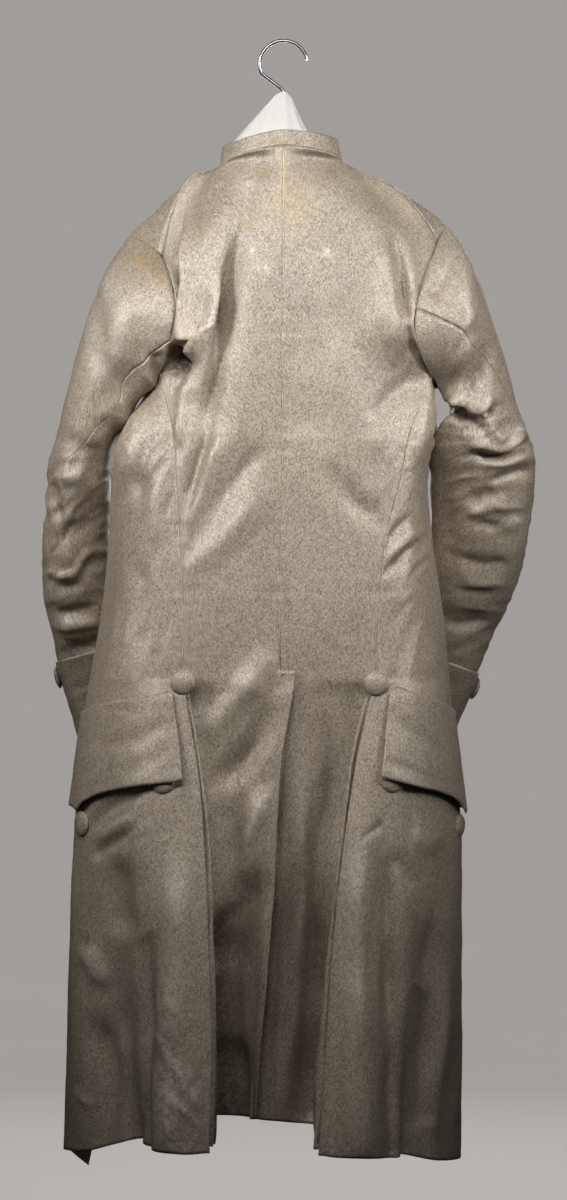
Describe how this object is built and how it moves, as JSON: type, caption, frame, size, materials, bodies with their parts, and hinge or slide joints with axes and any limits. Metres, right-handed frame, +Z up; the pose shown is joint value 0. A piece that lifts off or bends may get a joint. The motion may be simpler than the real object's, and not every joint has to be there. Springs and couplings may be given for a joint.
{
  "type": "silk coat on a padded hanger",
  "caption": "Man's long silk coat with a low stand collar, pocket flaps, cuffs and pleated skirts, hanging from the wire hook of its padded hanger.",
  "frame": {"origin": "inner top of the hanger's hook, where a rail or peg carries the whole weight", "axes": "+Z up, +X to the wearer's right, +Y to the coat's front, so the back faces -Y"},
  "size_m": [0.5129, 0.3391, 1.1735],
  "materials": {
    "silk": "worn greige silk twill with a soft satin sheen",
    "button_silk": "the same silk drawn over a domed button mould",
    "white_cotton": "plain white cotton, matt",
    "bright_wire": "bright plated wire"
  },
  "bodies": {
    "root": {"back_right": "silk", "front_right": "silk", "skirt_back_right": "silk", "skirt_front_right": "silk", "cuff_right": "silk", "flap_right": "silk", "sleeve_right_upper": "silk", "sleeve_right_under": "silk", "button_hip_right": "button_silk", "button_pocket_right_1": "button_silk", "button_cuff_right_1": "button_silk", "button_pocket_right_2": "button_silk", "button_cuff_right_2": "button_silk", "button_pocket_right_3": "button_silk", "button_cuff_right_3": "button_silk", "back_left": "silk", "front_left": "silk", "skirt_back_left": "silk", "skirt_front_left": "silk", "cuff_left": "silk", "flap_left": "silk", "sleeve_left_upper": "silk", "sleeve_left_under": "silk", "button_hip_left": "button_silk", "button_pocket_left_1": "button_silk", "button_cuff_left_1": "button_silk", "button_pocket_left_2": "button_silk", "button_cuff_left_2": "button_silk", "button_pocket_left_3": "button_silk", "button_cuff_left_3": "button_silk", "button_front_1": "button_silk", "button_front_2": "button_silk", "button_front_3": "button_silk", "button_front_4": "button_silk", "button_front_5": "button_silk", "button_front_6": "button_silk", "button_front_7": "button_silk", "button_front_8": "button_silk", "collar": "silk", "hanger_hook": "bright_wire", "hanger_pad": "white_cotton", "hanger_cloth": "white_cotton"}
  },
  "joints": []
}
